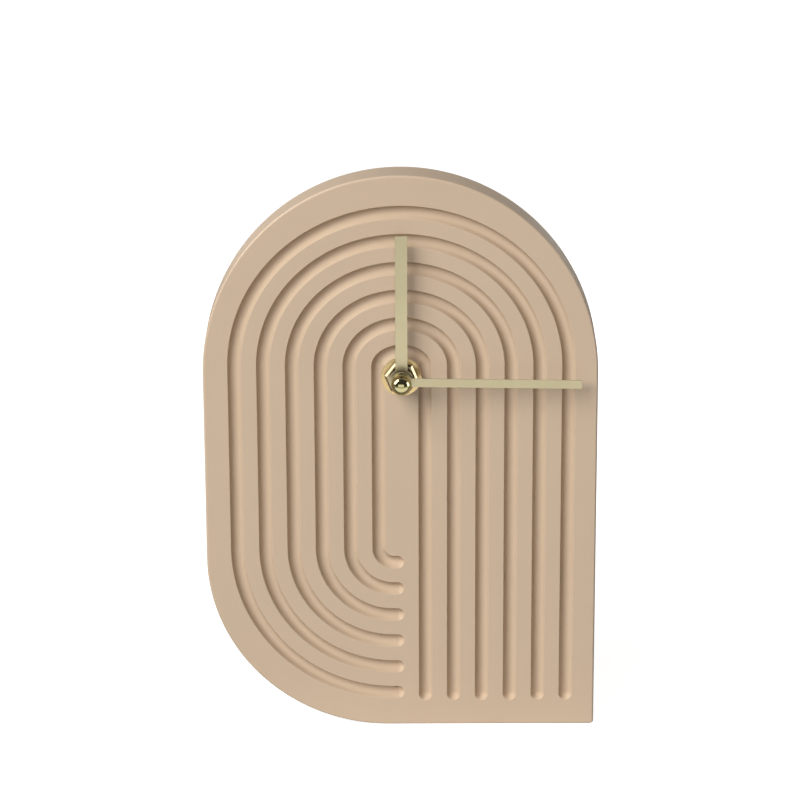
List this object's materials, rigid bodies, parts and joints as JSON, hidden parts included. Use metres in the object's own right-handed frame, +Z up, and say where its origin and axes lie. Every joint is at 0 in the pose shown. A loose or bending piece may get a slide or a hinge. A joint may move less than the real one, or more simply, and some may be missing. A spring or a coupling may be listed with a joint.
{
  "type": "table clock",
  "caption": "Arch-topped table clock: a grooved, painted panel on a rear foot, with straight hands, a ball cap and a quartz movement with battery set into the back.",
  "frame": {"origin": "on the resting plane, under the hands' axis, at the middle of the panel's thickness", "axes": "+Z up, +X to the viewer's right, -Y towards the viewer"},
  "size_m": [0.165, 0.0707, 0.245],
  "materials": {
    "painted_board": "matt beige paint on fibreboard",
    "beech": "bare beech",
    "brass": "polished",
    "champagne_metal": "brushed, champagne anodised",
    "black_rubber": "matt",
    "black_abs": "moulded, fine texture",
    "white_acetal": "moulded",
    "bright_steel": "bright",
    "copper_wire": "enamelled copper wire",
    "green_board": "solder resist",
    "bonded_magnet": "plastic-bonded magnet",
    "battery_can": "plain printed wrap over a steel can"
  },
  "bodies": {
    "case": {"case_panel": "painted_board", "stand_foot": "painted_board", "dowel_left": "beech", "dowel_right": "beech", "front_washer": "brass", "hex_nut": "brass", "rubber_gasket": "black_rubber", "movement_shell": "black_abs", "movement_cover": "black_abs", "train_plate": "white_acetal", "stator": "bright_steel", "coil_core": "bright_steel", "coil_bobbin": "white_acetal", "coil_winding": "copper_wire", "circuit_board": "green_board", "quartz_crystal": "bright_steel", "positive_contact": "bright_steel", "negative_contact": "bright_steel"},
    "minute": {"minute_hand": "champagne_metal", "cap_nut": "brass", "minute_arbor": "bright_steel"},
    "hour": {"hour_hand": "champagne_metal", "hour_wheel": "white_acetal"},
    "setting": {"minute_wheel": "white_acetal", "setting_knob": "black_abs"},
    "seconds": {"seconds_wheel": "white_acetal"},
    "third": {"third_wheel": "white_acetal"},
    "centre": {"centre_wheel": "white_acetal"},
    "fifth": {"fifth_wheel": "white_acetal"},
    "rotor": {"rotor": "bonded_magnet"},
    "battery": {"battery": "battery_can"}
  },
  "joints": [
    {"name": "minute_turn", "type": "hinge", "parent": "case", "child": "minute", "pos_m": [0, 0, 0.1583], "axis": [0, 1, 0], "continuous": true},
    {"name": "hour_turn", "type": "hinge", "parent": "case", "child": "hour", "pos_m": [0, 0, 0.1583], "axis": [0, 1, 0], "continuous": true},
    {"name": "setting_turn", "type": "hinge", "parent": "case", "child": "setting", "pos_m": [-0.011, 0, 0.1583], "axis": [0, 1, 0], "continuous": true},
    {"name": "seconds_turn", "type": "hinge", "parent": "case", "child": "seconds", "pos_m": [0, 0, 0.1583], "axis": [0, 1, 0], "continuous": true},
    {"name": "third_turn", "type": "hinge", "parent": "case", "child": "third", "pos_m": [-0.00431, 0, 0.16754], "axis": [0, 1, 0], "continuous": true},
    {"name": "centre_turn", "type": "hinge", "parent": "case", "child": "centre", "pos_m": [0, 0, 0.1583], "axis": [0, 1, 0], "continuous": true},
    {"name": "fifth_turn", "type": "hinge", "parent": "case", "child": "fifth", "pos_m": [0.00909, 0, 0.16355], "axis": [0, 1, 0], "continuous": true},
    {"name": "rotor_turn", "type": "hinge", "parent": "case", "child": "rotor", "pos_m": [0.01269, 0, 0.16979], "axis": [0, 1, 0], "continuous": true},
    {"name": "battery_slide", "type": "slide", "parent": "case", "child": "battery", "axis": [0, 1, 0], "range_m": [0, 0.024]}
  ],
  "couplings": [
    {"joint": "hour_turn", "follows": "minute_turn", "ratio": 0.083333},
    {"joint": "setting_turn", "follows": "minute_turn", "ratio": -0.33333},
    {"joint": "third_turn", "follows": "seconds_turn", "ratio": -0.13333},
    {"joint": "centre_turn", "follows": "seconds_turn", "ratio": 0.016667},
    {"joint": "fifth_turn", "follows": "seconds_turn", "ratio": -6},
    {"joint": "rotor_turn", "follows": "seconds_turn", "ratio": 30}
  ]
}
